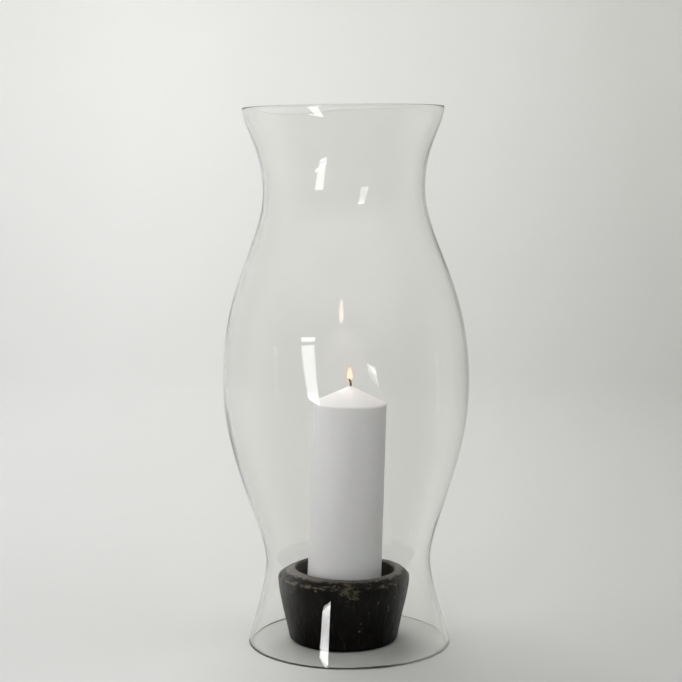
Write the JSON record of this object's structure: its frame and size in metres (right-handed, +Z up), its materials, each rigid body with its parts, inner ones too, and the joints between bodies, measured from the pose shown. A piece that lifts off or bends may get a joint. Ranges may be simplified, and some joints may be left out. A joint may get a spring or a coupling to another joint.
{
  "type": "hurricane candle lantern",
  "caption": "Clear blown-glass hurricane chimney, open at both ends, standing around a dark wooden cup that holds a white pillar candle.",
  "frame": {"origin": "on the table, under the middle of the glass's belly", "axes": "+Z up; -Y towards the viewer of the picture; +X to that viewer's right"},
  "size_m": [0.2248, 0.2246, 0.491],
  "materials": {
    "clear_glass": "gloss",
    "painted_wood": "satin",
    "white_wax": "satin",
    "cotton_wick": "matte",
    "tinned_steel": "satin"
  },
  "bodies": {
    "holder": {"candle_holder": "painted_wood"},
    "shade": {"glass_shade": "clear_glass"},
    "candle": {"candle": "white_wax", "wick": "cotton_wick", "wick_sustainer": "tinned_steel"}
  },
  "joints": [
    {"name": "shade_lift", "type": "slide", "parent": "holder", "child": "shade", "axis": [0, 0, 1], "range_m": [0, 0.3]},
    {"name": "candle_lift", "type": "slide", "parent": "holder", "child": "candle", "axis": [0.0314, 0, 0.9995], "range_m": [0, 0.04]}
  ]
}
